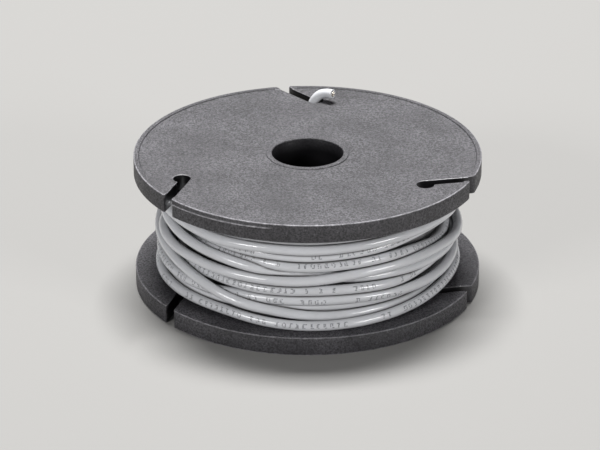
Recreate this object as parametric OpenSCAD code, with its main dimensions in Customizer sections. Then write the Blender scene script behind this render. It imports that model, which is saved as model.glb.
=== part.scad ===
// Small two-flange spool of insulated hook-up wire.
// The spool stands on its lower flange, with the bore along Z and the origin under its centre.
// The wire's free end comes up through the upper flange's keyhole at the back.

/* [Spool] */
// Diameter over the flanges
flange_d = 63.5; // [60:0.5:72]
// Height over both flanges
overall_h = 25.4; // [22:0.2:36]
// Thickness of each flange
flange_t = 3.5; // [2.6:0.1:4.2]
// Width of the raised lip round each flange's outer face
lip_w = 0.9; // [0.6:0.1:1.6]
// Depth of the outer face below the lip
face_recess = 0.2; // [0.1:0.05:0.5]
// Radius that rounds the flange's edges
edge_round = 0.35; // [0.2:0.05:0.6]
// Bore for the spindle
bore_d = 13; // [8:0.1:14]
// Wall of the barrel where it passes through a flange
spigot_wall = 1.1; // [0.9:0.05:1.5]
// Step from the barrel's spigots out to its drum
shoulder = 1.4; // [1:0.1:2.4]

/* [Keyholes] */
// Diameter of the round end of each keyhole
keyhole_d = 3.2; // [3.1:0.1:3.6]
// Width of the slot from the round end to the flange's edge
keyslot_w = 1.8; // [1.4:0.05:2.2]
// Distance from the flange's edge to the middle of the round end
keyhole_inset = 6.55; // [6.2:0.05:7.5]
// Lean of each slot from the radius
keyslot_lean = 45; // [30:1:50]
// Direction of the keyhole that holds the wire's end, from +X
keyhole_angle = 86.5; // [80:0.5:100]

/* [Wire] */
// Diameter over the insulation
wire_d = 1.8; // [1.6:0.05:1.85]
// Distance from the flange's edge in to the outside of the winding
winding_inset = 3.45; // [3.2:0.05:4]
// Least space between neighbouring turns of the outer layer
turn_gap = 0.45; // [0.42:0.01:0.8]
// Diameter of one copper strand
strand_d = 0.32; // [0.25:0.01:0.34]

/* [Hidden] */

// Finish of round faces
$fn = 96;
eps = 0.01;
full_turn = 360;

// Spool
flange_r = flange_d / 2;
bore_r = bore_d / 2;
spigot_r = bore_r + spigot_wall;
drum_r = spigot_r + shoulder;
inner_face_z = overall_h - flange_t;
edge_bevel = 0.15;
round_steps = 4;

// Keyholes
keyhole_count = 3;
keyhole_r = keyhole_d / 2;
keyhole_place_r = flange_r - keyhole_inset;
wall_set = 0.06;
mouth_cut = 0.6;
mouth_cut_angle = 60;

// Winding
wire_r = wire_d / 2;
flange_play = 0.1;
winding_r = flange_r - winding_inset - wire_r;
loop_rings = 24;
tube_sides = 6;
core_play = 0.05;
core_r = winding_r * cos(full_turn / loop_rings / 2) - wire_r - core_play;
first_turn_z = flange_t + wire_r + flange_play;
last_turn_z = inner_face_z - wire_r - flange_play;
turns = floor((last_turn_z - first_turn_z) / (wire_d + turn_gap));

// The layer below, where the outer layer's two ends dive into it
lead_turn = 50;
buried_r = keyhole_place_r;
pocket_play = 0.1;
pocket_floor_r = buried_r - wire_r - pocket_play;

// Free end: it runs in under the flange, bends up round the keyhole's edge and leans over
hole_play = 0.1;
exit_bend_r = wire_d;
exit_x = wire_r + hole_play - keyhole_r;
exit_z = inner_face_z - exit_bend_r;
exit_rings = 5;
run_in_angle = atan((exit_bend_r - exit_x) / keyhole_place_r);
lead_end_angle = keyhole_angle + run_in_angle;
turns_end_angle = lead_end_angle + lead_turn;
turns_start_angle = turns_end_angle + full_turn * turns;
start_run_angle = atan(wire_d / buried_r);
lead_start_angle = turns_start_angle + lead_turn;
start_wall_angle = lead_start_angle + start_run_angle;

// Points of the free end from the keyhole's centre at the flange's outer face:
// along the rim, outwards and up
end_points = [
    [-0.4, 0, -2.2],
    [-0.2, 0.05, -1.1],
    [0.2, 0.1, -0.2],
    [0.7, 0.2, 0.5],
    [1.3, 0.25, 1],
    [1.9, 0.05, 1.35]
];
end_heading = [0.49, -0.78, 0.39];

// Conductor
strand_ring = 6;
strand_play = 0.01;
strand_proud = 0.25;

function smooth(t) = t * t * (3 - 2 * t);
function mix(a, b, t) = a + (b - a) * t;
function unit(v) = v / norm(v);
function polar(r, angle, z) = [r * cos(angle), r * sin(angle), z];

// A point given along the rim, outwards and up, seen from the keyhole
rim_way = [sin(keyhole_angle), -cos(keyhole_angle), 0];
out_way = [cos(keyhole_angle), sin(keyhole_angle), 0];
function way(p) = rim_way * p[0] + out_way * p[1] + [0, 0, p[2]];
function from_keyhole(p, z) = out_way * keyhole_place_r + way(p) + [0, 0, z];

start_run = [
    for (run = [0, wire_d])
        polar(buried_r, start_wall_angle, first_turn_z)
        + run * [sin(start_wall_angle), -cos(start_wall_angle), 0]
];

lead_rings = ceil(loop_rings * lead_turn / full_turn);
lead_out = [
    for (i = [1 : lead_rings - 1])
        let (t = i / lead_rings)
        polar(mix(buried_r, winding_r, smooth(t)), lead_start_angle - lead_turn * t, first_turn_z)
];

turn_rings = loop_rings * turns;
turn_points = [
    for (i = [0 : turn_rings])
        let (t = i / turn_rings)
        polar(winding_r, mix(turns_start_angle, turns_end_angle, t), mix(first_turn_z, last_turn_z, t))
];

lead_in = [
    for (i = [1 : lead_rings])
        let (t = i / lead_rings)
        polar(mix(winding_r, keyhole_place_r, smooth(t)), turns_end_angle - lead_turn * t,
              mix(last_turn_z, exit_z, smooth(t)))
];

exit_bend = [
    for (i = [1 : exit_rings])
        let (a = 90 * i / exit_rings)
        from_keyhole([exit_x - exit_bend_r + exit_bend_r * sin(a), 0, -exit_bend_r * cos(a)], inner_face_z)
];

free_end = [for (p = end_points) from_keyhole(p, overall_h)];
end_way = unit(way(end_heading));
last_point = free_end[len(free_end) - 1];
cut_point = last_point + wire_d * end_way;

route = concat(start_run, lead_out, turn_points, lead_in, exit_bend, free_end, [cut_point]);
last = len(route) - 1;

tangents = [for (i = [0 : last]) unit(route[min(i + 1, last)] - route[max(i - 1, 0)])];
function square_to(v, t) = unit(v - (v * t) * t);
sides = [
    for (i = 0, v = square_to([0, 0, 1], tangents[0]); i <= last;
         i = i + 1, v = square_to(v, tangents[min(i, last)]))
        v
];

// Least gap of the tube to itself, between rings more than half a loop apart
gaps = [
    for (i = [0 : last], j = [i + loop_rings / 2 : last])
        norm(route[i] - route[j]) - wire_d
];
echo(least_gap = min(gaps), turns = turns, rings = len(route));

// A quarter of a circle's points, from one angle to another
function arc(x, y, r, from, to) = [
    for (i = [0 : round_steps])
        let (a = mix(from, to, i / round_steps))
        [x + r * cos(a), y + r * sin(a)]
];

// Distance from the keyhole's centre to the rim along a slot wall, which lies `off` to its side
function to_rim(off) =
    sqrt(pow(flange_r, 2) - pow(off - keyhole_place_r * sin(keyslot_lean), 2))
    - keyhole_place_r * cos(keyslot_lean);

// A round hole with a leaning slot to the rim. One wall of the slot runs off the hole's side,
// a hair inside it, and the sharp corner where the other wall meets the rim is cut back.
module keyhole_cut() {
    far_wall = keyhole_r - wall_set;
    near_wall = far_wall - keyslot_w;
    corner_x = to_rim(near_wall);
    cutter_x = to_rim(far_wall) + keyslot_w;
    cut_y = near_wall - 2 * mouth_cut * sin(mouth_cut_angle);
    translate([0, 0, -eps]) {
        cylinder(r = keyhole_r, h = flange_t + 2 * eps);
        rotate(keyslot_lean)
            linear_extrude(flange_t + 2 * eps)
                polygon([
                    [0, near_wall],
                    [corner_x - mouth_cut, near_wall],
                    [corner_x - mouth_cut + 2 * mouth_cut * cos(mouth_cut_angle), cut_y],
                    [cutter_x, cut_y],
                    [cutter_x, far_wall],
                    [0, far_wall]
                ]);
    }
}

// One flange with its outer face upwards
module flange() {
    lip_r = flange_r - lip_w;
    face_z = flange_t - face_recess;
    difference() {
        rotate_extrude()
            polygon(concat(
                [[spigot_r, 0]],
                arc(flange_r - edge_round, edge_round, edge_round, -90, 0),
                arc(flange_r - edge_round, flange_t - edge_round, edge_round, 0, 90),
                [
                    [lip_r, flange_t],
                    [lip_r - face_recess / 2, face_z],
                    [spigot_r + edge_bevel, face_z],
                    [spigot_r, face_z - edge_bevel]
                ]
            ));
        for (i = [0 : keyhole_count - 1])
            rotate(keyhole_angle + i * full_turn / keyhole_count)
                translate([keyhole_place_r, 0])
                    keyhole_cut();
    }
}

module barrel() {
    color("#2b2a2c")
        rotate_extrude()
            polygon([
                [bore_r, edge_bevel],
                [bore_r + edge_bevel, 0],
                [spigot_r - edge_bevel, 0],
                [spigot_r, edge_bevel],
                [spigot_r, flange_t],
                [drum_r, flange_t],
                [drum_r, inner_face_z],
                [spigot_r, inner_face_z],
                [spigot_r, overall_h - edge_bevel],
                [spigot_r - edge_bevel, overall_h],
                [bore_r + edge_bevel, overall_h],
                [bore_r, overall_h - edge_bevel]
            ]);
}

module upper_flange() {
    color("#2f2e30")
        translate([0, 0, inner_face_z])
            flange();
}

module lower_flange() {
    color("#2f2e30")
        translate([0, 0, flange_t])
            mirror([0, 0, 1])
                flange();
}

// The space that an end of the outer layer needs in the layers below, from one angle to another
module pocket(from_angle, to_angle, from_z, to_z) {
    rotate(from_angle)
        rotate_extrude(angle = to_angle - from_angle)
            translate([pocket_floor_r, from_z])
                square([flange_r - pocket_floor_r, to_z - from_z]);
}

module wire_inner_layers() {
    exit_angle = atan((exit_x + wire_r + pocket_play) / keyhole_place_r);
    color("#c4c5c7")
        difference() {
            rotate_extrude()
                translate([drum_r, flange_t])
                    square([core_r - drum_r, inner_face_z - flange_t]);
            pocket(turns_start_angle, start_wall_angle, flange_t - eps, first_turn_z + wire_r + pocket_play);
            pocket(keyhole_angle - exit_angle, turns_end_angle, exit_z - wire_r - pocket_play,
                   inner_face_z + eps);
        }
}

// One unbroken tube along the route
module wire_outer_layer() {
    rim = [for (k = [0 : tube_sides - 1]) full_turn * k / tube_sides];
    skin = [
        for (i = [0 : last], a = rim)
            route[i] + wire_r * (cos(a) * sides[i] + sin(a) * cross(tangents[i], sides[i]))
    ];
    wall = [
        for (i = [0 : last - 1], k = [0 : tube_sides - 1])
            let (a = i * tube_sides + k, b = i * tube_sides + (k + 1) % tube_sides)
            each [[a, a + tube_sides, b], [b, a + tube_sides, b + tube_sides]]
    ];
    top = last * tube_sides;
    ends = [
        for (k = [1 : tube_sides - 2])
            each [[0, k, k + 1], [top, top + k + 1, top + k]]
    ];
    color("#c9cacc")
        polyhedron(skin, concat(wall, ends));
}

// Bare strands that stand a little proud of the cut end, one in the middle and six round it
module conductor_strands() {
    tilt = acos(end_way[2]);
    heading = atan2(end_way[1], end_way[0]);
    color("#d8c9b0")
        translate(cut_point)
            rotate([0, tilt, heading]) {
                cylinder(d = strand_d, h = strand_proud);
                for (k = [1 : strand_ring])
                    rotate(full_turn * k / strand_ring)
                        translate([strand_d + strand_play, 0])
                            cylinder(d = strand_d, h = strand_proud);
            }
}

barrel();
upper_flange();
lower_flange();
wire_inner_layers();
wire_outer_layer();
conductor_strands();
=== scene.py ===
"""Looks of a small two-flange spool, filled with insulated hook-up wire.

Lengths are in millimetres, in the row frame, until MM turns them into Blender's metres.
"""

import math

import bpy
import numpy as np
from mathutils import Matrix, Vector
from mathutils.geometry import delaunay_2d_cdt


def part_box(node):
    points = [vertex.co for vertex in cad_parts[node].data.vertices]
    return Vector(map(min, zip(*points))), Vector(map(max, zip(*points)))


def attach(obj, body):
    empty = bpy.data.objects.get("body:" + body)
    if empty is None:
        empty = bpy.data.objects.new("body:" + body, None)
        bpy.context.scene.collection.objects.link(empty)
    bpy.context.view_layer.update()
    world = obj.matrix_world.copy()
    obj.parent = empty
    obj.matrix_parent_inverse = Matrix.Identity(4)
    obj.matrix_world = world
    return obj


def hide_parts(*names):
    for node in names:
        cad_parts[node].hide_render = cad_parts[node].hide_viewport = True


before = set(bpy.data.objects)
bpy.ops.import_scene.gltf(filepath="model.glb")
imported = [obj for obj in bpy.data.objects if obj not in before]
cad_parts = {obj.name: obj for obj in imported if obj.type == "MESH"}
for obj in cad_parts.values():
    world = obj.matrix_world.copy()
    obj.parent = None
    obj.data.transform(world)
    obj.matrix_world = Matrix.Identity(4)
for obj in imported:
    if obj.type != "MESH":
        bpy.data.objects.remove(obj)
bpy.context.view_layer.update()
MM = 0.001

# Spool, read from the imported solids
flange_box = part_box("upper_flange")
FLANGE_R = flange_box[1].x / MM
TOP_Z = flange_box[1].z / MM
UPPER_INNER_Z = flange_box[0].z / MM
LOWER_INNER_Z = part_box("lower_flange")[1].z / MM
FLANGE_THICK = TOP_Z - UPPER_INNER_Z
DRUM_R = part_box("barrel")[1].x / MM

# Keyhole that holds the wire's free end
KEYHOLE_INSET = 6.55
KEYHOLE_ANGLE = 86.5
KEYHOLE_PLACE_R = FLANGE_R - KEYHOLE_INSET

# Wire
WIRE_D = 1.8
WIRE_R = WIRE_D / 2
WIRE_LENGTH = 12190
CONDUCTOR_R = 0.48
STRAND_R = 0.16
LOWEST_Z = LOWER_INNER_Z + WIRE_R
HIGHEST_Z = UPPER_INNER_Z - WIRE_R
FULL_TURN = 360
START_DIRECTION = 90


# ---------------------------------------------------------------- camera

# The lens and its sensor in the usual millimetres, then places in the row frame
LENS = 195.4
SENSOR_WIDTH = 36
NEAREST_SEEN = 50
CAMERA_PLACE = (-1.38, -544.1, 263.6)
CAMERA_TARGET = (-1.38, 0, 10.75)


def aim(obj, at):
    """Turns an object so that its -Z looks at a point."""
    obj.rotation_euler = (Vector(at) - obj.location).to_track_quat("-Z", "Y").to_euler()


def in_scene(name, data):
    """A new object with this data, in the scene."""
    obj = bpy.data.objects.new(name, data)
    bpy.context.scene.collection.objects.link(obj)
    return obj


def add_camera():
    """A long lens, 0.6 m away, that looks down at the spool's front."""
    data = bpy.data.cameras.new("camera")
    data.lens = LENS
    data.sensor_width = SENSOR_WIDTH
    data.clip_start = NEAREST_SEEN * MM
    camera = in_scene("camera", data)
    camera.location = Vector(CAMERA_PLACE) * MM
    aim(camera, Vector(CAMERA_TARGET) * MM)
    bpy.context.scene.camera = camera


# ---------------------------------------------------------------- wire

# The layers that show, from the pass that is wound first. Each point is a direction from +X,
# which falls as the wire is wound, then the height and the distance from the axis.
VISIBLE_PASSES = [
    # under the others, along the lower flange
    [(80, 4.45, 24.6), (30, 4.45, 24.5), (0, 4.45, 24.5), (-30, 4.65, 24.8), (-60, 5.6, 25.3),
     (-90, 5.8, 25.5), (-110, 5.8, 25.6), (-135, 6.35, 25.5), (-180, 6.95, 25.4),
     (-225, 8.1, 25.4), (-260, 9.5, 25.4)],
    # low on the right, out and up on the left
    [(80, 9.9, 25.3), (60, 10.3, 24.9), (45, 10.6, 24.9), (30, 10.5, 25.4), (15, 10.2, 26.2),
     (0, 10.15, 26.6), (-14, 10.6, 26.7), (-25, 10.9, 26.8), (-40, 11.3, 26.8),
     (-60, 11.6, 26.5), (-72, 11.9, 26.1), (-80, 12.45, 25.7), (-88, 13.35, 25.9),
     (-98, 14, 26.4), (-112, 14.7, 27), (-125, 15.15, 27.2), (-137, 15.55, 27.3),
     (-150, 16.05, 27), (-160, 16.5, 26.6), (-180, 16.5, 25.7), (-195, 15.9, 24.9),
     (-225, 15.3, 24.6), (-260, 14.5, 25)],
    # up to the upper flange, inside
    [(80, 14.7, 25.4), (45, 16.1, 25.2), (0, 17.55, 25), (-45, 18.75, 25.2), (-90, 18.85, 25.5),
     (-135, 19.3, 25.3), (-180, 20.45, 25.1), (-225, 18.5, 25.2), (-260, 17.5, 25.2)],
    # against the upper flange
    [(80, 17.5, 25.4), (45, 19.1, 26.2), (0, 20.85, 27), (-45, 20.75, 27.2), (-90, 20.55, 27.3),
     (-135, 20.65, 27.2), (-180, 20.85, 26.6), (-225, 18.1, 26.8), (-260, 17.7, 27)],
    # the first of the outer layer that shows at the front
    [(80, 17.7, 27.1), (45, 18.3, 27.2), (0, 18.65, 27.2), (-30, 19, 27.3), (-45, 19.05, 27.4),
     (-60, 18.8, 27.4), (-75, 18.7, 27.4), (-90, 18.4, 27.4), (-104, 18.65, 27.4),
     (-123, 18.35, 27.4), (-140, 18.75, 27.2), (-160, 18.7, 26.8), (-180, 18.55, 26.7),
     (-225, 16.5, 27), (-260, 16, 27.2)],
    [(80, 16.1, 27.2), (45, 16.5, 27.1), (0, 16.95, 27), (-20, 17.8, 27.2), (-31, 18.3, 27.3),
     (-45, 18.2, 27.2), (-60, 17.45, 27), (-75, 17.15, 26.9), (-90, 16.75, 26.85),
     (-103, 16.8, 26.8), (-112, 17.1, 26.6), (-125, 17.35, 26.3), (-140, 17.6, 25.9),
     (-160, 17.6, 25.6), (-180, 17.85, 25.3), (-225, 15.1, 26.4), (-260, 14.3, 27.2)],
    [(80, 14.2, 27.2), (45, 13.7, 26.2), (0, 12.15, 25.1), (-10, 12.15, 25.1), (-20, 12.5, 25.3),
     (-30, 13.3, 25.7), (-40, 14.3, 26.2), (-50, 14.95, 26.8), (-60, 15.4, 27.2),
     (-75, 15.4, 27.4), (-90, 15.15, 27.4), (-103, 15.2, 27.2), (-112, 15.25, 26.7),
     (-122, 15.35, 26), (-135, 15.1, 25.5), (-160, 14.6, 25.4), (-180, 14.35, 25.4),
     (-225, 13.5, 26.4), (-260, 12.7, 27.2)],
    [(80, 12.4, 27.2), (45, 12.2, 27.5), (15, 11.7, 27.6), (0, 11.55, 27.6), (-15, 12.1, 27.6),
     (-31, 13.25, 27.5), (-47, 13.6, 27.4), (-60, 13.55, 27.4), (-70, 13.45, 27.4),
     (-80, 13, 27.4), (-90, 12.55, 27.4), (-98, 12.3, 27.4), (-110, 12.4, 27.4),
     (-120, 12.4, 27.4), (-130, 12.65, 27.4), (-140, 12.85, 27.4), (-150, 12.85, 27.4),
     (-160, 13.1, 27.2), (-170, 12.8, 26.7), (-180, 12.35, 26.2), (-225, 11.5, 26.4),
     (-260, 10.8, 27.2)],
    [(80, 10.6, 27.2), (60, 10, 27), (45, 9.3, 26.4), (20, 8.8, 25.4), (0, 8.65, 25.1),
     (-20, 9.4, 25.2), (-30, 9.65, 25.4), (-40, 9.9, 25.9), (-50, 10.1, 26.8),
     (-60, 10.2, 27.4), (-70, 10.45, 27.4), (-80, 10.7, 27.5), (-90, 10.7, 27.5),
     (-100, 10.5, 27.5), (-110, 10.45, 27.3), (-120, 10.6, 27), (-130, 10.55, 26.4),
     (-140, 10.4, 25.8), (-160, 9.9, 25.5), (-180, 9.55, 25.5), (-225, 9.6, 26.2),
     (-260, 9, 27.2)],
    [(80, 8.8, 27.2), (45, 8.4, 27), (0, 7.25, 26.6), (-20, 7.5, 26.7), (-40, 7.8, 27.2),
     (-60, 8.35, 27.4), (-75, 8.75, 27.4), (-90, 8.75, 27.4), (-105, 8.6, 27.2),
     (-115, 8.4, 26.9), (-125, 8.05, 26.8), (-135, 7.75, 27), (-150, 7.45, 26.9),
     (-165, 7.6, 26.9), (-180, 7.75, 26.7), (-225, 7.7, 27.1), (-260, 7.3, 27.2)],
    [(80, 7, 27.2), (45, 7, 26.4), (0, 6.85, 25.5), (-30, 6.75, 25.7), (-45, 6.95, 26),
     (-60, 7.1, 26.3), (-75, 7.2, 26.4), (-90, 7.3, 26.4), (-100, 7.2, 26.1),
     (-115, 6.8, 25.7), (-135, 6.05, 25.5), (-180, 5.2, 25.6), (-225, 5.8, 26.4),
     (-242, 6, 26.8), (-260, 5.8, 27.2)],
    # on the lower flange
    [(80, 5.3, 27.2), (45, 5.3, 27), (0, 4.9, 26.3), (-15, 5.35, 26.4), (-30, 5.25, 26.9),
     (-45, 4.8, 27.6), (-60, 4.45, 28.15), (-75, 4.45, 28.85), (-90, 4.45, 29.15),
     (-105, 4.45, 28.2), (-120, 5, 27.6), (-135, 5.15, 27.4), (-150, 4.85, 27.1),
     (-165, 4.45, 27.05), (-180, 4.45, 27.05), (-225, 4.45, 27), (-260, 4.45, 26.4)],
    # the last one climbs over the others on the left and runs in under the keyhole
    [(80, 4.45, 25.8), (45, 4.45, 25.7), (0, 5, 25.6), (-30, 5.25, 25.6), (-45, 5.4, 25.7),
     (-60, 5.4, 26.1), (-75, 5.35, 26.8), (-84, 5.3, 27.1), (-90, 5.55, 27.2),
     (-99, 6.35, 27.4), (-106, 6.95, 27.8), (-112, 7.25, 28.2), (-119, 7.95, 28.5),
     (-127, 8.95, 28.4), (-135, 9.6, 27.9), (-140, 9.95, 27.6), (-150, 10.45, 27.2),
     (-165, 10.9, 27), (-180, 10.95, 27), (-190, 11.3, 27.1), (-205, 12.7, 28),
     (-220, 15.1, 28.7), (-235, 17.7, 28.7), (-247, 19.3, 27.8), (-258, 19.6, 26.2),
     (-266, 19.6, 25.3)],
]
SHOWN_RINGS = 96
SHOWN_FLOOR_R = 24.5

# How those passes settle: how often they push each other apart, the part of an overlap that each
# gives way in one go and the share of that up and down, the least distance that is divided by, how
# much their lines are eased, and how much they are held to where they were drawn
SETTLE_ROUNDS = 60
GIVE_WAY = 0.25
GIVE_UP_DOWN = 0.5
LEAST_APART = 0.01
EASING = 0.2
HOLD_HEIGHT = 0.1
HOLD_DISTANCE = 0.06

# The layers below, in even turns, with one turn along the flange at each end of a layer
HIDDEN_LAYERS = 9
DRUM_GAP = 0.05
HIDDEN_FIRST_R = DRUM_R + WIRE_R + DRUM_GAP
HIDDEN_STEP = 1.65
HIDDEN_RINGS = 24

# The free end: a bend up into the keyhole, then points from the keyhole's centre at the
# flange's outer face, along the rim, outwards and up
EXIT_BEND_R = WIRE_D
EXIT_X = -0.6
EXIT_RINGS = 10
END_POINTS = [
    (-0.65, 0.1, -2.4),
    (-0.62, 0.15, -1.5),
    (-0.35, 0.15, -0.6),
    (0.22, 0.1, 0.27),
    (0.97, -0.05, 0.93),
    (1.85, -0.35, 1.3),
]
END_HEADING = (0.84, -0.5, 0.16)
END_RINGS = 6

# The tube, and its cut end from the outside in: distance from the middle, and out past the cut
WIRE_SIDES = 20
CUT_ROUND = 0.06
CUT_DEPTH = 1.4
CUT_PROFILE = [
    (WIRE_R, -2 * CUT_ROUND),
    (WIRE_R - CUT_ROUND / 3, -CUT_ROUND / 2),
    (WIRE_R - CUT_ROUND, 0),
    (CONDUCTOR_R + CUT_ROUND, 0),
    (CONDUCTOR_R, -CUT_ROUND),
    (CONDUCTOR_R, -CUT_DEPTH),
]

# Painted shade on the wire, standing in for the shade between passes: how far from the next pass it
# starts, and how much of it the layers below have
SHADE_REACH = 0.45
SHADE_BELOW = 0.7

# Print: the angle from outwards up to the print line after so many turns of the passes that
# show. It turns slowly, so some passes show it and some hide it.
PRINT_LINE = [
    (4.7, 180), (5.25, 35), (5.75, 20), (6.25, 22), (6.75, 60), (7.25, 150), (7.75, 150),
    (8.25, 30), (8.7, 18), (9.2, -60), (9.5, 0), (9.75, 40), (10.25, 140), (10.75, 120),
    (11.25, 35), (11.5, 20), (11.75, 25), (12.25, 140), (12.75, 170), (12.95, 360), (13.5, 360),
]

# Strands: how far each stands out of the cut, the middle one first, where they have rings inside
# the wire, the degrees that they turn in a millimetre, and the bevel at their ends
STRANDS_PROUD = (0.16, 0.25, 0.08, 0.2, 0.12, 0.22, 0.05)
STRAND_RINGS = (-CUT_DEPTH, -0.9, -0.4, 0)
STRAND_TURN = 26
STRAND_SIDES = 12
STRAND_BEVEL = 0.03


def polar(r, direction, z):
    """A point from its distance, its direction in degrees and its height."""
    a = np.radians(direction)
    return np.stack([r * np.cos(a), r * np.sin(a), z + 0 * a], -1)


def smooth(t):
    """From 0 to 1, level at both ends."""
    return t * t * (3 - 2 * t)


def mix(a, b, t):
    """From a at 0 to b at 1."""
    return a + (b - a) * t


def unit(v):
    """The same ways, each 1 long."""
    return v / np.linalg.norm(v, axis=-1, keepdims=True)


def flowing(at, knots, values):
    """A smooth line through the values at the knots that hardly overshoots them."""
    step = np.diff(knots)
    slope = np.diff(values) / step
    lean = np.zeros_like(values)
    lean[1:-1] = (slope[:-1] * step[1:] + slope[1:] * step[:-1]) / (step[1:] + step[:-1])
    # it leans less where the values turn back
    turning = slope[:-1] * slope[1:] <= 0
    lean[1:-1][turning] /= 2
    lean[0] = slope[0]
    lean[-1] = slope[-1]
    k = np.clip(np.searchsorted(knots, at) - 1, 0, len(knots) - 2)
    t = (at - knots[k]) / step[k]
    return (
        (1 + 2 * t) * (1 - t) ** 2 * values[k]
        + t * t * (3 - 2 * t) * values[k + 1]
        + t * (1 - t) * step[k] * ((1 - t) * lean[k] - t * lean[k + 1])
    )


def in_turns(values):
    """The values along the wire as one row a turn, the last one filled up with nan."""
    turns = math.ceil(len(values) / SHOWN_RINGS)
    spare = np.full(turns * SHOWN_RINGS - len(values), np.nan)
    return np.concatenate([values, spare]).reshape(turns, SHOWN_RINGS)


def press_apart(z, r):
    """How far each point of the winding is pushed by the turns that it would lie in."""
    rows_z = in_turns(z)
    rows_r = in_turns(r)
    push_z = np.zeros_like(rows_z)
    push_r = np.zeros_like(rows_r)
    for i in range(len(rows_z)):
        for j in range(i + 1, len(rows_z)):
            up = np.nan_to_num(rows_z[j] - rows_z[i])
            out = np.nan_to_num(rows_r[j] - rows_r[i])
            apart = np.hypot(up, out)
            overlap = np.maximum(WIRE_D - apart, 0)
            share = GIVE_WAY * overlap / np.maximum(apart, LEAST_APART)
            push_r[i] -= share * out
            push_r[j] += share * out
            push_z[i] -= share * up * GIVE_UP_DOWN
            push_z[j] += share * up * GIVE_UP_DOWN
    return push_z.ravel()[:len(z)], push_r.ravel()[:len(r)]


def settle(z, r):
    """Lets the passes that show push each other apart, near to where they were drawn."""
    drawn_z = z.copy()
    drawn_r = r.copy()
    for _ in range(SETTLE_ROUNDS):
        push_z, push_r = press_apart(z, r)
        z = z + push_z
        r = r + push_r
        for line in (z, r):
            line[1:-1] += EASING * (line[:-2] + line[2:] - 2 * line[1:-1])
        z += HOLD_HEIGHT * (drawn_z - z)
        r += HOLD_DISTANCE * (drawn_r - r)
        z = np.clip(z, LOWEST_Z, HIGHEST_Z)
        r = np.maximum(r, SHOWN_FLOOR_R)
        # the last two rings stay where they run in under the keyhole
        z[-2:] = drawn_z[-2:]
        r[-2:] = drawn_r[-2:]
    return z, r


def shown_part():
    """The passes that show, up to where the bend into the keyhole starts."""
    run_in = math.degrees(math.atan((EXIT_BEND_R - EXIT_X) / KEYHOLE_PLACE_R))
    last_direction = KEYHOLE_ANGLE + run_in - FULL_TURN
    knots = [
        (FULL_TURN * k + START_DIRECTION - direction, z, r)
        for k, points in enumerate(VISIBLE_PASSES)
        for direction, z, r in points
    ]
    wound, heights, distances = np.array(knots, float).T
    step = FULL_TURN / SHOWN_RINGS
    last = FULL_TURN * (len(VISIBLE_PASSES) - 1) + START_DIRECTION - last_direction
    at = np.arange(0, last, step)
    z, r = settle(flowing(at, wound, heights), flowing(at, wound, distances))
    return polar(r, START_DIRECTION - at, z)


def hidden_part(length, end_r):
    """The even layers below, of that length in all, up to the first pass that shows."""
    radii = [HIDDEN_FIRST_R + HIDDEN_STEP * k for k in range(HIDDEN_LAYERS)] + [end_r]
    # a turn's straight pieces add up to this for each millimetre of its radius
    chord = 2 * HIDDEN_RINGS * math.sin(math.pi / HIDDEN_RINGS)
    # a layer has the even turns that use up the length, and one more that climbs to the next
    climbs = sum((a + b) / 2 for a, b in zip(radii, radii[1:]))
    turns = (length / chord - climbs) / sum(radii[:-1])
    rings = int(HIDDEN_LAYERS * (turns + 1) * HIDDEN_RINGS)
    points = []
    for i in range(-rings, 0):
        wound = i / HIDDEN_RINGS
        done = wound + HIDDEN_LAYERS * (turns + 1)
        k = int(done // (turns + 1))
        t = done - k * (turns + 1)
        ends = (HIGHEST_Z, LOWEST_Z) if k % 2 == 0 else (LOWEST_Z, HIGHEST_Z)
        z = mix(ends[0], ends[1], min(t / turns, 1))
        r = mix(radii[k], radii[k + 1], smooth(max(t - turns, 0)))
        points.append(polar(r, START_DIRECTION - FULL_TURN * wound, z))
    return np.array(points)


def from_keyhole(points, z):
    """Points given along the rim, outwards and up, seen from the keyhole's centre."""
    a = math.radians(KEYHOLE_ANGLE)
    ways = np.array([[math.sin(a), -math.cos(a), 0], [math.cos(a), math.sin(a), 0], [0, 0, 1]])
    return np.array(points, float) @ ways + polar(KEYHOLE_PLACE_R, KEYHOLE_ANGLE, z)


def lengths_along(points):
    """The length of the line up to each of its points."""
    steps = np.linalg.norm(np.diff(points, axis=0), axis=1)
    return np.concatenate([[0], np.cumsum(steps)])


def through_points(points, rings):
    """A smooth line through the points, with that many rings from one to the next."""
    knots = lengths_along(points)
    parts = [np.linspace(a, b, rings, endpoint=False) for a, b in zip(knots, knots[1:])]
    at = np.concatenate(parts + [knots[-1:]])
    return np.stack([flowing(at, knots, points[:, axis]) for axis in range(3)], -1)


def end_part():
    """From the last of the winding up through the keyhole to the cut."""
    a = np.linspace(0, math.pi / 2, EXIT_RINGS + 1)
    along_rim = EXIT_X - EXIT_BEND_R + EXIT_BEND_R * np.sin(a)
    bend = np.column_stack([along_rim, 0 * a, -EXIT_BEND_R * np.cos(a)])
    bend = from_keyhole(bend, UPPER_INNER_Z)
    free = from_keyhole(END_POINTS, TOP_Z)
    heading = unit(from_keyhole([END_HEADING], 0)[0] - polar(KEYHOLE_PLACE_R, KEYHOLE_ANGLE, 0))
    cut = free[-1] + WIRE_D * heading
    free = through_points(np.vstack([bend[-1:], free, cut[None]]), END_RINGS)
    return np.vstack([bend[:-1], free]), cut, heading


def wire_route():
    """Ring centres of the whole wire, which of them show, and the cut end."""
    shown = shown_part()
    end, cut, heading = end_part()
    rest = WIRE_LENGTH - lengths_along(np.vstack([shown, end]))[-1]
    hidden = hidden_part(rest, math.hypot(*shown[0][:2]))
    shown_rings = slice(len(hidden), len(hidden) + len(shown))
    return np.vstack([hidden, shown, end]), shown_rings, cut, heading


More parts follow.
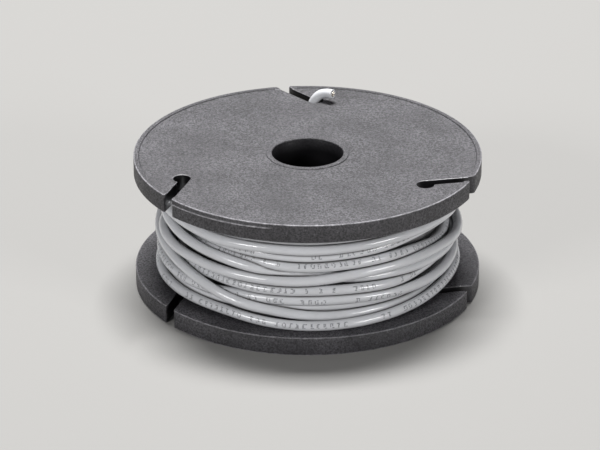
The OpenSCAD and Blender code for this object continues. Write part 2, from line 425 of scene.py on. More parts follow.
def carried_sides(points):
    """Square to the wire at each ring: the way that starts outwards and is carried along."""
    ahead = np.vstack([points[1:], points[-1:]])
    behind = np.vstack([points[:1], points[:-1]])
    ways = unit(ahead - behind)
    side = unit(points[0] * [1, 1, 0])
    sides = []
    for way in ways:
        side = unit(side - side @ way * way)
        sides.append(side)
    return ways, np.array(sides)


def new_piece(name, points, faces, material):
    """A mesh piece from points in millimetres, smooth shaded."""
    mesh = bpy.data.meshes.new(name)
    mesh.from_pydata((np.asarray(points) * MM).tolist(), [], faces)
    mesh.polygons.foreach_set("use_smooth", [True] * len(mesh.polygons))
    mesh.materials.append(material)
    mesh.update()
    return in_scene(name, mesh)


def joined_loops(loops, count):
    """Faces between each loop of so many points and the next."""
    faces = []
    for k in range(loops - 1):
        for i in range(count):
            n = (i + 1) % count
            faces.append((k * count + i, k * count + n, (k + 1) * count + n, (k + 1) * count + i))
    return faces


def tube_on(centres, radii, ways, across, around):
    """Points and faces of a closed tube, from its rings and the number of its sides."""
    a = np.arange(around) * 2 * math.pi / around
    third = np.cross(ways, across)
    skin = (
        centres[:, None]
        + radii[:, None, None] * (np.cos(a)[None, :, None] * across[:, None]
                                  + np.sin(a)[None, :, None] * third[:, None])
    ).reshape(-1, 3)
    faces = joined_loops(len(centres), around)
    last = (len(centres) - 1) * around
    faces.append(tuple(range(around - 1, -1, -1)))
    faces.append(tuple(range(last, last + around)))
    return skin, faces


def print_angles(route, shown_from, ways, across):
    """The angle from each ring's first side to the print line."""
    outwards = unit(route * [1, 1, 0])
    outwards = unit(outwards - (outwards * ways).sum(1)[:, None] * ways)
    upwards = np.cross(outwards, ways)
    upwards *= np.where(upwards[:, 2:] < 0, -1, 1)
    knots, angles = np.array(PRINT_LINE, float).T
    turns = (np.arange(len(route)) - shown_from) / SHOWN_RINGS
    angle = np.radians(np.interp(turns, knots, angles))[:, None]
    line = np.cos(angle) * outwards + np.sin(angle) * upwards
    third = np.cross(ways, across)
    return np.arctan2((line * third).sum(1), (line * across).sum(1))


def add_values(piece, name, values):
    """A value at each point of the mesh, for its material; points past the last one get 0."""
    spare = len(piece.data.vertices) - np.size(values)
    padded = np.append(np.ravel(values), np.zeros(spare))
    piece.data.attributes.new(name, "FLOAT", "POINT").data.foreach_set("value", padded)


def closeness(skin, centres):
    """How near each point of the passes that show lies to another pass: 1 where they touch."""
    nearest = np.full(skin.shape[:2], WIRE_D)
    for turns in range(1, len(VISIBLE_PASSES)):
        shift = turns * SHOWN_RINGS
        later = slice(shift, None)
        earlier = slice(None, -shift)
        for here, there in ((later, earlier), (earlier, later)):
            apart = np.linalg.norm(skin[here] - centres[there][:, None], axis=-1) - WIRE_R
            nearest[here] = np.minimum(nearest[here], apart)
    return np.clip(1 - nearest / SHADE_REACH, 0, 1)


def wire(route, shown, cut, heading, material):
    """One unbroken tube, with the insulation's wall and the hole for the strands at the cut."""
    ways, across = carried_sides(route)
    line = print_angles(route, shown.start, ways, across)
    along = lengths_along(route)
    centres = np.vstack([route[:-1]] + [cut + heading * out for r, out in CUT_PROFILE])
    radii = np.array([WIRE_R] * (len(route) - 1) + [r for r, out in CUT_PROFILE])
    last_side = unit(across[-1] - across[-1] @ heading * heading)
    kept = np.minimum(np.arange(len(centres)), len(route) - 1)
    ways = np.vstack([ways[:-1]] + [heading] * len(CUT_PROFILE))
    across = np.vstack([across[:-1]] + [last_side] * len(CUT_PROFILE))
    skin, faces = tube_on(centres, radii, ways, across, WIRE_SIDES)
    piece = new_piece("hookup_wire", skin, faces, material)
    # the angle from the print line is kept as two values, which blend across a face
    from_line = np.arange(WIRE_SIDES) * 2 * math.pi / WIRE_SIDES - line[kept][:, None]
    add_values(piece, "along", np.repeat(along[kept], WIRE_SIDES))
    add_values(piece, "print_x", np.cos(from_line))
    add_values(piece, "print_y", np.sin(from_line))
    rings = skin.reshape(-1, WIRE_SIDES, 3)
    # painted shade: some on all the layers below, and more in the grooves where passes that show touch
    painted_shade = np.zeros(rings.shape[:2])
    painted_shade[:shown.start] = SHADE_BELOW
    painted_shade[shown] = closeness(rings[shown], route[shown])
    add_values(piece, "painted_shade", painted_shade)
    return piece


def strands(cut, heading, material):
    """The bare strands, one in the middle and the others laid round it, each cut by itself."""
    out_way = unit(np.cross(heading, [0, 0, 1]))
    up_way = np.cross(out_way, heading)
    points = []
    faces = []
    for k, proud in enumerate(STRANDS_PROUD):
        reach = 0 if k == 0 else 2 * STRAND_R
        start = FULL_TURN * k / (len(STRANDS_PROUD) - 1)
        along = np.array([*STRAND_RINGS, proud - STRAND_BEVEL, proud])
        turn = np.radians(start + STRAND_TURN * along)
        centres = (
            cut + along[:, None] * heading
            + reach * (np.cos(turn)[:, None] * out_way + np.sin(turn)[:, None] * up_way)
        )
        radii = np.full(len(along), STRAND_R)
        radii[-1] -= STRAND_BEVEL
        ways = np.tile(heading, (len(along), 1))
        across = np.tile(out_way, (len(along), 1))
        skin, walls = tube_on(centres, radii, ways, across, STRAND_SIDES)
        faces += [tuple(i + len(points) for i in face) for face in walls]
        points += skin.tolist()
    return new_piece("tinned_strands", points, faces, material)


# ---------------------------------------------------------------- spool

# Edges and faces of the flanges. The edge's round shrinks over the last steps before a mouth,
# and faces that meet at more than SHARP_ANGLE degrees show a sharp edge.
EDGE_ROUND = 0.25
SLOT_ROUND = 0.12
MOUTH_ROUND = 0.17
MOUTH_STEPS = 3
LIP_WIDTH = 0.9
LIP_R = FLANGE_R - LIP_WIDTH
LIP_SLOPE = 0.14
FACE_RECESS = 0.2
RING_CLEAR = 0.1
SAME_POINT = 1e-6
ROUND_STEPS = 4
RIM_STEP = 1.5
SHARP_ANGLE = 50

# How worn each row of an edge's round is, from the face, which paints it paler, part wear and part
# painted highlight; the edges on the wire's side are less so
EDGE_WEAR_AND_HIGHLIGHT = (0, 0.3, 0.6, 0.35, 0)
INNER_WEAR_AND_HIGHLIGHT = 0.5

# Keyholes: a round hole, drawn clockwise in steps of degrees from the slot's near wall to its far
# wall, and a slot that leans and whose far wall runs off the hole's side. A mouth's corner is bent
# between the slot's wall and a point of the rim RIM_LEAD degrees away.
KEYHOLE_COUNT = 3
KEYHOLE_R = 1.6
HOLE_START = 22
HOLE_STOP = 284
HOLE_STEP = 8
SLOT_WIDTH = 1.8
FAR_WALL_INSET = 0.06
FAR_WALL = KEYHOLE_R - FAR_WALL_INSET
NEAR_WALL = FAR_WALL - SLOT_WIDTH
KEYSLOT_LEAN = 45
SHARP_MOUTH = 0.75
BLUNT_MOUTH = 0.4
HOLE_CORNER = 0.2
SLOT_STEP = 0.25
RIM_LEAD = 2
BEND_POINTS = 7

# A hair of flash that the mould's joint left on the upper rim: its two ends, as a direction and
# a height over the flange's inner face, how far it stands out, half its width, how soon it comes
# up at its ends, and how uneven it is, from two waves that beat
FLASH_ENDS = ((-143, 2.45), (-101, 2.65))
FLASH_PROUD = 0.13
FLASH_HALF = 0.2
FLASH_ONSET = 4
FLASH_UNEVEN = 0.25
FLASH_WAVES = (0.9, 2.3)

# A polished core left the keyholes' walls smooth, and they are painted darker as shade, from this far
# inside the rim
CORED_AND_SHADED_FROM = 1.5

# Barrel, with the rounds of its corners
BORE_R = 6.5
SPIGOT_WALL = 1.1
SPIGOT_R = BORE_R + SPIGOT_WALL
BORE_ROUND = 0.3
SPIGOT_ROUND = 0.25
DRUM_ROUND = 0.02
BARREL_SIDES = 144

# The bore is as smooth, and as dark with painted shade, as the keyholes, but duller and less shaded
# from this far in to its ends, down to a share. A point this near to its wall lies on it.
BORE_DULL_AND_SHADE = 2.5
DULL_BEND = 0.2
DULL_AND_SHADE_LEAST = 0.4
ON_WALL = 0.03


def rim_point(direction):
    """A point of the flange's rim, seen from above."""
    return polar(FLANGE_R, direction, 0)[:2]


def seen_at(point):
    """The direction that a point lies in, in degrees."""
    return math.degrees(math.atan2(point[1], point[0]))


def bent(before, corner, after, reach):
    """A corner turned into a curve that starts and ends that far from it."""
    a = corner + reach * unit(before - corner)
    b = corner + reach * unit(after - corner)
    steps = np.linspace(0, 1, BEND_POINTS)
    return [mix(mix(a, corner, t), mix(corner, b, t), t) for t in steps]


def divided(points, step):
    """The points with more between them, where they are more than a step apart."""
    more = []
    for a, b in zip(points, points[1:]):
        parts = math.ceil(np.linalg.norm(b - a) / step)
        more += [mix(a, b, i / parts) for i in range(parts)]
    return more + [points[-1]]


def to_rim(off):
    """From the keyhole's centre to the rim, along a slot wall that far to its side."""
    lean = math.radians(KEYSLOT_LEAN)
    across = off - KEYHOLE_PLACE_R * math.sin(lean)
    return math.sqrt(FLANGE_R ** 2 - across ** 2) - KEYHOLE_PLACE_R * math.cos(lean)


def keyhole_outline(direction):
    """From the rim in along the slot, round the hole and out to the rim again."""
    turned = polar(1, direction + KEYSLOT_LEAN, 0)[:2]
    across = np.array([-turned[1], turned[0]])
    centre = polar(KEYHOLE_PLACE_R, direction, 0)[:2]

    def at(x, y):
        return centre + x * turned + y * across

    near_mouth = at(to_rim(NEAR_WALL), NEAR_WALL)
    far_mouth = at(to_rim(FAR_WALL), FAR_WALL)
    near_foot = at(math.sqrt(KEYHOLE_R ** 2 - NEAR_WALL ** 2), NEAR_WALL)
    far_foot = at(math.sqrt(KEYHOLE_R ** 2 - FAR_WALL ** 2), FAR_WALL)
    turned_by = range(HOLE_START, HOLE_STOP, HOLE_STEP)
    hole = [at(*polar(KEYHOLE_R, -a, 0)[:2]) for a in turned_by]
    before = rim_point(seen_at(near_mouth) - RIM_LEAD)
    after = rim_point(seen_at(far_mouth) + RIM_LEAD)
    line = (
        bent(before, near_mouth, near_foot, SHARP_MOUTH)
        + bent(near_mouth, near_foot, hole[0], HOLE_CORNER)
        + hole
        + bent(far_foot, far_mouth, after, BLUNT_MOUTH)
    )
    return divided(line, SLOT_STEP)


def flange_outline():
    """The whole outline, counterclockwise, and the size of the edge's round at each point."""
    points = []
    rounds = []
    turned_by = range(0, FULL_TURN, FULL_TURN // KEYHOLE_COUNT)
    keyholes = [keyhole_outline(KEYHOLE_ANGLE + turn) for turn in turned_by]
    for line, following in zip(keyholes, keyholes[1:] + keyholes[:1]):
        points += line
        rounds += [SLOT_ROUND if math.hypot(*p) < LIP_R else MOUTH_ROUND for p in line]
        start = seen_at(line[-1])
        way = (seen_at(following[0]) - start) % FULL_TURN
        steps = round(way / RIM_STEP)
        for i in range(1, steps):
            from_mouth = min(i, steps - i) / MOUTH_STEPS
            points.append(rim_point(start + way * i / steps))
            rounds.append(mix(MOUTH_ROUND, EDGE_ROUND, smooth(min(from_mouth, 1))))
    return np.array(points), np.array(rounds)


def into_the_plastic(outline):
    """Unit ways from each point of a counterclockwise outline to its left."""
    ahead = unit(np.roll(outline, -1, 0) - outline)
    behind = unit(outline - np.roll(outline, 1, 0))
    way = unit(ahead + behind)
    return np.stack([-way[:, 1], way[:, 0]], -1)


def face_drop(points):
    """How far the outer face lies below the lip at each point."""
    r = np.hypot(points[:, 0], points[:, 1])
    return FACE_RECESS * np.clip((LIP_R - r) / LIP_SLOPE, 0, 1)


def flash_shape(outline):
    """At each point of the outline, the flash's height and how much of it there is, up to 1."""
    direction = np.degrees(np.arctan2(outline[:, 1], outline[:, 0]))
    (start, start_z), (stop, stop_z) = FLASH_ENDS
    t = np.clip((direction - start) / (stop - start), 0, 1)
    slow, quick = FLASH_WAVES
    uneven = 1 - FLASH_UNEVEN * (1 - np.sin(direction * slow) * np.sin(direction * quick))
    return mix(start_z, stop_z, t), np.minimum(FLASH_ONSET * np.sin(math.pi * t), 1) * uneven


def wall_rows(outline, rounds, flash):
    """Loops of points from the inner face's edge, over the wall, to the outer face's edge."""
    inwards = into_the_plastic(outline)
    turn = np.linspace(0, math.pi / 2, ROUND_STEPS + 1)
    plans = [outline + (rounds * (1 - math.cos(a)))[:, None] * inwards for a in turn]
    drops = [rounds * (1 - math.sin(a)) for a in turn]
    rows = [np.column_stack([plan, drop]) for plan, drop in zip(plans[::-1], drops[::-1])]
    if flash:
        height, share = flash_shape(outline)
        for up, proud in ((-FLASH_HALF, 0), (0, FLASH_PROUD), (FLASH_HALF, 0)):
            plan = outline - (proud * share)[:, None] * inwards
            rows.append(np.column_stack([plan, height + up]))
    for plan, drop in zip(plans, drops):
        rows.append(np.column_stack([plan, FLANGE_THICK - face_drop(plan) - drop]))
    return rows


def inside(points, loop):
    """Which of the points lie inside the loop."""
    x, y = points[:, 0, None], points[:, 1, None]
    x1, y1 = loop[:, 0], loop[:, 1]
    x2, y2 = np.roll(x1, -1), np.roll(y1, -1)
    spans = (y1 > y) != (y2 > y)
    rise = np.where(y2 == y1, 1, y2 - y1)
    return (spans & (x < (x2 - x1) * (y - y1) / rise + x1)).sum(1) % 2 == 1


def filled_face(loop, ring_radii):
    """Points and triangles between an outline and the barrel's hole, with rings of edges."""
    points = loop.tolist()
    edges = [(i, (i + 1) % len(loop)) for i in range(len(loop))]
    for r in ring_radii:
        ring = polar(r, np.arange(0, FULL_TURN, RIM_STEP), 0)[:, :2]
        clear = np.array([np.linalg.norm(loop - p, axis=1).min() > RING_CLEAR for p in ring])
        kept = clear & inside(ring, loop)
        first = len(points)
        place = np.cumsum(kept) - 1 + first
        points += ring[kept].tolist()
        for i in range(len(ring)):
            n = (i + 1) % len(ring)
            if kept[i] and kept[n]:
                edges.append((int(place[i]), int(place[n])))
    flat, _, faces, *_ = delaunay_2d_cdt([Vector(p) for p in points], edges, [], 0, SAME_POINT)
    flat = np.array([tuple(p) for p in flat])
    middles = np.array([flat[list(face)].mean(0) for face in faces])
    wanted = inside(middles, loop) & (np.hypot(middles[:, 0], middles[:, 1]) > SPIGOT_R)
    return flat, [tuple(face) for face, keep in zip(faces, wanted) if keep]


def flange_mesh(rows):
    """Points and faces of a flange whose inner face lies at zero, its walls' faces first."""
    points = np.vstack(rows).tolist()
    faces = joined_loops(len(rows), len(rows[0]))
    outer_rings = (SPIGOT_R, LIP_R - LIP_SLOPE, LIP_R)
    for row, rings, outer in ((rows[0], (SPIGOT_R,), False), (rows[-1], outer_rings, True)):
        flat, triangles = filled_face(row[:, :2], rings)
        height = FLANGE_THICK - face_drop(flat) if outer else np.zeros(len(flat))
        first = len(points)
        points += np.column_stack([flat, height]).tolist()
        faces += [tuple(i + first for i in (face if outer else face[::-1])) for face in triangles]
    return np.array(points), faces


def wall_wear_and_highlight(outline, loops, flash):
    """How worn each loop of the walls is, painted paler as wear and as a highlight: the middle of an
    edge's round most, and the flash.
    """
    worn_and_highlit = np.zeros((loops, len(outline)))
    for k, share in enumerate(EDGE_WEAR_AND_HIGHLIGHT):
        worn_and_highlit[k] = INNER_WEAR_AND_HIGHLIGHT * share
        worn_and_highlit[loops - 1 - k] = share
    if flash:
        # the flash's crest is painted pale, as a painted highlight
        crest = ROUND_STEPS + 2
        worn_and_highlit[crest] = flash_shape(outline)[1]
    return worn_and_highlit


def flange(name, inner_z, up, flash, material):
    """One flange: up is 1 where its outer face looks up, and -1 where it looks down."""
    outline, rounds = flange_outline()
    rows = wall_rows(outline, rounds, flash)
    points, faces = flange_mesh(rows)
    points[:, 2] = inner_z + up * points[:, 2]
    if up < 0:
        faces = [face[::-1] for face in faces]
    piece = new_piece(name, points, faces, material)
    walls = len(outline) * (len(rows) - 1)
    piece.data.polygons.foreach_set("use_smooth", [i < walls for i in range(len(faces))])
    piece.data.set_sharp_from_angle(angle=math.radians(SHARP_ANGLE))
    from_rim = FLANGE_R - np.concatenate([np.hypot(row[:, 0], row[:, 1]) for row in rows])
    # smooth walls, painted darker as shade the further in from the rim
    add_values(piece, "cored_and_shaded", np.clip(from_rim / CORED_AND_SHADED_FROM, 0, 1))
    add_values(piece, "edge", wall_wear_and_highlight(outline, len(rows), flash))
    return piece


def barrel_profile():
    """The barrel's closed outline as distances from the axis and heights."""
    corners = [
        (BORE_R, 0, BORE_ROUND),
        (SPIGOT_R, 0, SPIGOT_ROUND),
        (SPIGOT_R, LOWER_INNER_Z, DRUM_ROUND),
        (DRUM_R, LOWER_INNER_Z, DRUM_ROUND),
        (DRUM_R, UPPER_INNER_Z, DRUM_ROUND),
        (SPIGOT_R, UPPER_INNER_Z, DRUM_ROUND),
        (SPIGOT_R, TOP_Z, SPIGOT_ROUND),
        (BORE_R, TOP_Z, BORE_ROUND),
        (BORE_R, TOP_Z - BORE_DULL_AND_SHADE, DULL_BEND),
        (BORE_R, BORE_DULL_AND_SHADE, DULL_BEND),
    ]
    plan = [np.array(corner[:2]) for corner in corners]
    profile = []
    for i, (r, z, reach) in enumerate(corners):
        profile += bent(plan[i - 1], plan[i], plan[(i + 1) % len(plan)], reach)
    return profile


def barrel(material):
    """The tube between the flanges and through them, with rounded ends round the bore."""
    profile = barrel_profile()
    count = len(profile)
    turned_by = np.arange(BARREL_SIDES) * FULL_TURN / BARREL_SIDES
    points = np.array([polar(r, a, z) for a in turned_by for r, z in profile])
    faces = []
    for k in range(BARREL_SIDES):
        n = (k + 1) % BARREL_SIDES
        for i in range(count):
            j = (i + 1) % count
            faces.append((k * count + i, n * count + i, n * count + j, k * count + j))
    piece = new_piece("spool_barrel", points, faces, material)
    piece.data.set_sharp_from_angle(angle=math.radians(SHARP_ANGLE))
    from_end = np.minimum(points[:, 2], TOP_Z - points[:, 2])
    in_bore = np.hypot(points[:, 0], points[:, 1]) < BORE_R + ON_WALL
    # smooth walls in the bore, painted darker as shade the deeper in
    add_values(piece, "cored_and_shaded", in_bore * np.clip(from_end / BORE_DULL_AND_SHADE, DULL_AND_SHADE_LEAST, 1))
    return piece


# ---------------------------------------------------------------- materials

# Sizes of the patterns. The plastic's own grain is finer than this, and so are a drawn strand's
# scratches: both are drawn as coarse as they need to be to show. Noise is weakest on planes at
# whole multiples of its size, and the top face's height is no such multiple of GRAIN and SPECK.
GRAIN = 0.357
SPECK = 0.91
FLOW_CLOUD = 8.33
TONE_PATCH = 4
INK_PATCH = 0.2
RUB = 0.7
RIPPLE = 3
STAIN = 0.4
SCRATCH = 0.05

# Heights of the bumps
GRAIN_DEPTH = 0.3
RIPPLE_DEPTH = 0.12

# Printed marks: the pitch of their cells, the cells in a group, and which groups and cells stay
# empty, as the seed of the chance and the part of them
MARK_PITCH = 1.2
GROUP_CELLS = 4
EMPTY_GROUPS = (11.9, 0.18)
EMPTY_CELLS = (1.7, 0.15)

# The strokes in a cell. Each has the seed of its chances, then how much these add to its middle,
# its half length and its height over the print line and what those start from, and its half
# thickness. Those along the wire are parts of the cell.
STROKES = [
    # two dashes, one over the other
    (3.1, (0.3, 0.27), (0.2, 0.08), (0, 0.36), 0.1),
    (7.7, (0.3, 0.27), (0.2, 0.08), (0, -0.36), 0.1),
    # two short ticks
    (5.3, (0.6, 0.12), (0, 0.08), (0.4, -0.2), 0.27),
    (15.1, (0.6, 0.12), (0, 0.08), (0.4, -0.2), 0.27),
]


def linear(hex_colour):
    """sRGB hex to the linear colour that shaders take."""
    parts = [int(hex_colour[i:i + 2], 16) / 255 for i in (1, 3, 5)]
    return (*[c / 12.92 if c <= 0.04045 else ((c + 0.055) / 1.055) ** 2.4 for c in parts], 1)


def set_inputs(tree, node, inputs):
    """Gives each input a value, or links it to a socket or to a node's first open output."""
    for name, value in inputs.items():
        if isinstance(value, bpy.types.Node):
            value = next(socket for socket in value.outputs if socket.enabled)
        if isinstance(value, bpy.types.NodeSocket):
            tree.links.new(value, node.inputs[name])
        else:
            node.inputs[name].default_value = value


def add_node(tree, kind, inputs=None, **properties):
    """Adds a node with its properties and its inputs."""
    node = tree.nodes.new(kind)
    for name, value in properties.items():
        setattr(node, name, value)
    set_inputs(tree, node, inputs or {})
    return node


def new_material(name):
    """A material, its nodes and its main shader."""
    material = bpy.data.materials.new(name)
    material.use_nodes = True
    tree = material.node_tree
    return material, tree, tree.nodes["Principled BSDF"]


def in_millimetres(tree):
    """The piece's own coordinates, in millimetres."""
    place = add_node(tree, "ShaderNodeTexCoord").outputs["Object"]
    return add_node(tree, "ShaderNodeVectorMath", {0: place, "Scale": 1 / MM}, operation="SCALE")


def blast_and_side_shade(tree):
    """1 on level faces, less on the rims: their part of the mould was turned, barely blasted; fewer
    pale grains there also paint the rims darker as shade.
    """
    normal = add_node(tree, "ShaderNodeTexCoord").outputs["Normal"]
    upright = add_node(tree, "ShaderNodeSeparateXYZ", {"Vector": normal}).outputs["Z"]
    level = add_node(tree, "ShaderNodeMath", {0: upright}, operation="ABSOLUTE")
    return add_node(
        tree, "ShaderNodeMapRange",
        {"Value": level, "From Min": 0.3, "From Max": 0.9, "To Min": 0.6, "To Max": 1},
    )


def plastic_colour(tree, place, grain, blast_and_shade, cored_and_shaded):
    """Black, greyer where the grain stands up, with dust, painted shade on the rims and in the holes,
    and worn edges with a painted highlight.
    """
    grains = add_node(tree, "ShaderNodeMapRange", {"Value": grain, "From Min": 0.41, "From Max": 0.6})
    # the upright walls get fewer pale grains: a smoother turned finish, and painted shade that darkens
    # the rims
    grains = add_node(tree, "ShaderNodeMix", {"Factor": blast_and_shade, "A": 0.1, "B": grains})
    # broad, faint clouds, where the plastic flowed and cooled unevenly
    clouds = add_node(
        tree, "ShaderNodeTexNoise", {"Vector": place, "Scale": 1 / FLOW_CLOUD, "Detail": 3},
    )
    flowed = add_node(tree, "ShaderNodeMapRange", {"Value": clouds, "From Min": 0.35, "From Max": 0.65})
    high = add_node(
        tree, "ShaderNodeMix", {"Factor": flowed, "A": linear("#3b393e"), "B": linear("#535156")},
        data_type="RGBA",
    )
    body = add_node(
        tree, "ShaderNodeMix", {"Factor": grains, "A": linear("#141316"), "B": high},
        data_type="RGBA",
    )
    specks = add_node(
        tree, "ShaderNodeTexNoise",
        {"Vector": place, "Scale": 1 / SPECK, "Detail": 5, "Roughness": 0.75},
    )
    spots = add_node(tree, "ShaderNodeMapRange", {"Value": specks, "From Min": 0.6, "From Max": 0.75})
    edge = add_node(tree, "ShaderNodeAttribute", attribute_name="edge").outputs["Fac"]
    uneven = add_node(
        tree, "ShaderNodeMapRange",
        {"Value": specks, "From Min": 0.35, "From Max": 0.6, "To Min": 0.2, "To Max": 1},
    )
    rubbed_and_highlit = add_node(tree, "ShaderNodeMath", {0: edge, 1: uneven}, operation="MULTIPLY")
    # dust spots are paler; the walls that a polished core left smooth look black, partly as painted
    # shade deepening into the bore and the keyholes; and the edges' rounds, worn by handling and given
    # a painted highlight, are the palest
    for share, colour in ((spots, "#69676c"), (cored_and_shaded, "#0c0b0d"), (rubbed_and_highlit, "#c4c2c8")):
        body = add_node(
            tree, "ShaderNodeMix", {"Factor": share, "A": body, "B": linear(colour)},
            data_type="RGBA",
        )
    return body


def moulded_polystyrene():
    """Black moulded polystyrene: the fine grain of a blasted mould makes it matt and grey."""
    material, tree, shader = new_material("moulded_polystyrene")
    place = in_millimetres(tree)
    grain = add_node(
        tree, "ShaderNodeTexNoise",
        {"Vector": place, "Scale": 1 / GRAIN, "Detail": 3, "Roughness": 0.7},
    )
    blast_and_shade = blast_and_side_shade(tree)
    # smooth cored walls, whose colour also holds painted shade
    cored_and_shaded = add_node(tree, "ShaderNodeAttribute", attribute_name="cored_and_shaded").outputs["Fac"]
    # the sheen varies with the grain
    sheen = add_node(
        tree, "ShaderNodeMapRange",
        {"Value": grain, "From Min": 0.35, "From Max": 0.65, "To Min": 0.66, "To Max": 0.4},
    )
    rough = add_node(tree, "ShaderNodeMix", {"Factor": cored_and_shaded, "A": sheen, "B": 0.3})
    # the grain is a relief too, which hardly shows on the smooth walls
    grained = add_node(tree, "ShaderNodeMapRange", {"Value": cored_and_shaded, "To Min": 1, "To Max": 0.1})
    strength = add_node(tree, "ShaderNodeMath", {0: grained, 1: blast_and_shade}, operation="MULTIPLY")
    bump = add_node(
        tree, "ShaderNodeBump",
        {"Height": grain, "Strength": strength, "Distance": GRAIN_DEPTH * MM},
    )
    colour = plastic_colour(tree, place, grain, blast_and_shade, cored_and_shaded)
    looks = {"Base Color": colour, "Roughness": rough, "Normal": bump, "IOR": 1.59}
    set_inputs(tree, shader, looks)
    return material


def legend_marks(tree, along, off_line):
    """Short printed dashes and ticks along the wire's print line, in groups: no letters."""

    def chance(counted, seed):
        """An even chance from 0 to 1 for each cell or group."""
        shifted = add_node(tree, "ShaderNodeMath", {0: counted, 1: seed}, operation="ADD")
        return add_node(tree, "ShaderNodeTexWhiteNoise", {"W": shifted}, noise_dimensions="1D")

    place = add_node(tree, "ShaderNodeMath", {0: along, 1: MARK_PITCH}, operation="DIVIDE")
    cell = add_node(tree, "ShaderNodeMath", {0: place}, operation="FLOOR")
    across = add_node(tree, "ShaderNodeMath", {0: place}, operation="FRACT")
    group = add_node(tree, "ShaderNodeMath", {0: cell, 1: GROUP_CELLS}, operation="DIVIDE")
    group = add_node(tree, "ShaderNodeMath", {0: group}, operation="FLOOR")
    # each stroke has an uneven place and size in its cell
    inked = 0
    for seed, middle, reach, height, thick in STROKES:
        first = chance(cell, seed)
        second = chance(cell, seed + 1)
        middle, reach, height = [
            add_node(tree, "ShaderNodeMath", {0: pick, 1: by, 2: least}, operation="MULTIPLY_ADD")
            for pick, (by, least) in ((first, middle), (second, reach), (second, height))
        ]
        beside = add_node(tree, "ShaderNodeMath", {0: across, 1: middle, 2: reach}, operation="COMPARE")
        level = add_node(
            tree, "ShaderNodeMath", {0: off_line, 1: height, 2: thick}, operation="COMPARE",
        )
        stroke = add_node(tree, "ShaderNodeMath", {0: beside, 1: level}, operation="MULTIPLY")
        inked = add_node(tree, "ShaderNodeMath", {0: inked, 1: stroke}, operation="MAXIMUM")
    # some cells stay empty, and so do whole groups
    for counted, (seed, empty) in ((group, EMPTY_GROUPS), (cell, EMPTY_CELLS)):
        filled = add_node(
            tree, "ShaderNodeMath", {0: chance(counted, seed), 1: empty}, operation="GREATER_THAN",
        )
        inked = add_node(tree, "ShaderNodeMath", {0: inked, 1: filled}, operation="MULTIPLY")
    return inked


def wire_colour(tree, place, along):
    """Light grey, with the thin ink of the legend and painted shade in the grooves and on the layers
    below.
    """
    # handling leaves a faint unevenness of tone
    tone = add_node(tree, "ShaderNodeTexNoise", {"Vector": place, "Scale": 1 / TONE_PATCH, "Detail": 4})
    body = add_node(
        tree, "ShaderNodeMix", {"Factor": tone, "A": linear("#b3b4b7"), "B": linear("#c5c6ca")},
        data_type="RGBA",
    )
    print_x, print_y, painted_shade = [
        add_node(tree, "ShaderNodeAttribute", attribute_name=name).outputs["Fac"]
        for name in ("print_x", "print_y", "painted_shade")
    ]
    angle = add_node(tree, "ShaderNodeMath", {0: print_y, 1: print_x}, operation="ARCTAN2")
    off_line = add_node(tree, "ShaderNodeMath", {0: angle, 1: WIRE_R}, operation="MULTIPLY")
    marks = legend_marks(tree, along, off_line)
    patches = add_node(
        tree, "ShaderNodeTexNoise", {"Vector": place, "Scale": 1 / INK_PATCH, "Detail": 2},
    )
    ink = add_node(tree, "ShaderNodeMath", {0: marks, 1: patches}, operation="MULTIPLY", use_clamp=True)
    groove = add_node(
        tree, "ShaderNodeMapRange",
        {"Value": painted_shade, "From Min": 0.1, "From Max": 0.8, "To Max": 0.85},
    )
    # the ink is thin and patchy, and painted shade darkens the grooves where passes touch and the
    # layers below
    for share, colour in ((ink, "#1c1d22"), (groove, "#383531")):
        body = add_node(
            tree, "ShaderNodeMix", {"Factor": share, "A": body, "B": linear(colour)},
            data_type="RGBA",
        )
    return body


def extruded_pvc():
    """Light grey extruded PVC: a soft gloss, faint ripples and a printed legend."""
    material, tree, shader = new_material("extruded_pvc")
    place = in_millimetres(tree)
    along = add_node(tree, "ShaderNodeAttribute", attribute_name="along").outputs["Fac"]
    # the gloss is uneven where passes have rubbed
    rubs = add_node(tree, "ShaderNodeTexNoise", {"Vector": place, "Scale": 1 / RUB, "Detail": 3})
    rough = add_node(
        tree, "ShaderNodeMapRange",
        {"Value": rubs, "From Min": 0.2, "From Max": 0.8, "To Min": 0.1, "To Max": 0.26},
    )
    # slow ripples from the extruder, every few millimetres along the wire
    ripples = add_node(
        tree, "ShaderNodeTexNoise", {"W": along, "Scale": 1 / RIPPLE, "Detail": 2},
        noise_dimensions="1D",
    )
    bump = add_node(
        tree, "ShaderNodeBump",
        {"Height": ripples, "Strength": 0.5, "Distance": RIPPLE_DEPTH * MM},
    )
    colour = wire_colour(tree, place, along)
    looks = {"Base Color": colour, "Roughness": rough, "Normal": bump, "IOR": 1.53}
    set_inputs(tree, shader, looks)
    return material


def tinned_copper():
    """Tinned copper strand: bright tin, drawn lines and a little copper shining through."""
    material, tree, shader = new_material("tinned_copper")
    place = in_millimetres(tree)
    stains = add_node(tree, "ShaderNodeTexNoise", {"Vector": place, "Scale": 1 / STAIN, "Detail": 3})
    metal = add_node(
        tree, "ShaderNodeMix", {"Factor": stains, "A": linear("#dcdcda"), "B": linear("#cdbfae")},
        data_type="RGBA",
    )
    # drawing leaves fine scratches, which break up the shine
    scratches = add_node(
        tree, "ShaderNodeTexNoise", {"Vector": place, "Scale": 1 / SCRATCH, "Detail": 2},
    )
    rough = add_node(
        tree, "ShaderNodeMapRange",
        {"Value": scratches, "From Min": 0.2, "From Max": 0.8, "To Min": 0.15, "To Max": 0.45},
    )
    set_inputs(tree, shader, {"Base Color": metal, "Roughness": rough, "Metallic": 1})
    return material


# ---------------------------------------------------------------- floor and light

FLOOR_HALF = 3000
WORLD_STRENGTH = 0.05
LIGHT_TARGET = (0, 0, 12)

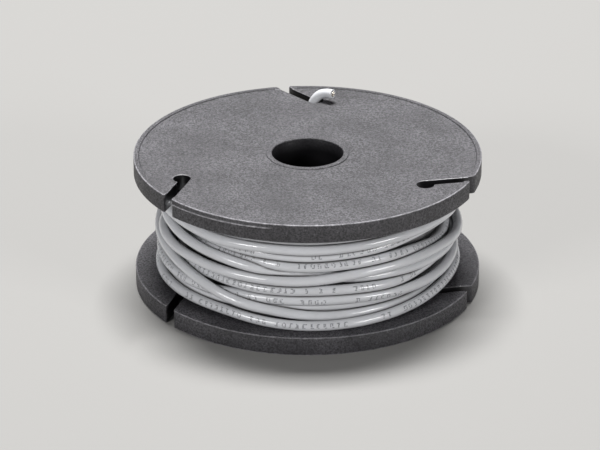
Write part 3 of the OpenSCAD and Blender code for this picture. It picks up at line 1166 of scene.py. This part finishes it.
# Softboxes: the direction and the angle over the floor that they stand at, in degrees, their
# distance, width and height, and their power in watts
SOFTBOXES = {
    "left_softbox": (-134, 25, 1100, 420, 220, 7.2),
    "right_softbox": (-38, 18, 1100, 360, 220, 6),
    "back_softbox": (92, 70, 1300, 700, 350, 46),
}


def add_floor():
    """A plain pale floor."""
    material, tree, shader = new_material("pale_floor")
    set_inputs(tree, shader, {"Base Color": linear("#7e7d7b"), "Roughness": 0.8})
    w = FLOOR_HALF
    corners = [(-w, -w, 0), (w, -w, 0), (w, w, 0), (-w, w, 0)]
    floor = new_piece("floor", corners, [(0, 1, 2, 3)], material)


def add_softbox(name, azimuth, elevation, distance, width, height, power):
    """An area light at a direction seen from the spool, turned to face it."""
    data = bpy.data.lights.new(name, "AREA")
    data.shape = "RECTANGLE"
    data.size = width * MM
    data.size_y = height * MM
    data.energy = power
    light = in_scene(name, data)
    level = math.cos(math.radians(elevation))
    up = math.sin(math.radians(elevation))
    light.location = Vector(polar(level, azimuth, up)) * distance * MM
    aim(light, Vector(LIGHT_TARGET) * MM)


def add_lights():
    """Two small softboxes at the front's sides, a broad one high behind, and a faint grey sky."""
    for name, settings in SOFTBOXES.items():
        add_softbox(name, *settings)
    world = bpy.data.worlds.new("studio")
    world.use_nodes = True
    sky = {"Color": (1, 1, 1, 1), "Strength": WORLD_STRENGTH}
    set_inputs(world.node_tree, world.node_tree.nodes["Background"], sky)
    bpy.context.scene.world = world
    bpy.context.scene.view_settings.view_transform = "Standard"


# ---------------------------------------------------------------- assembly

add_camera()
add_floor()
add_lights()

plastic = moulded_polystyrene()
pvc = extruded_pvc()
copper = tinned_copper()

spool_pieces = {
    "barrel": barrel(plastic),
    "upper_flange": flange("spool_upper_flange", UPPER_INNER_Z, 1, True, plastic),
    "lower_flange": flange("spool_lower_flange", LOWER_INNER_Z, -1, False, plastic),
}
for node, piece in spool_pieces.items():
    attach(piece, "root")
    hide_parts(node)

route, shown, cut, heading = wire_route()
wire_piece = wire(route, shown, cut, heading, pvc)
strand_piece = strands(cut, heading, copper)
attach(wire_piece, "root")
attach(strand_piece, "root")
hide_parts("wire_inner_layers", "wire_outer_layer")
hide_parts("conductor_strands")
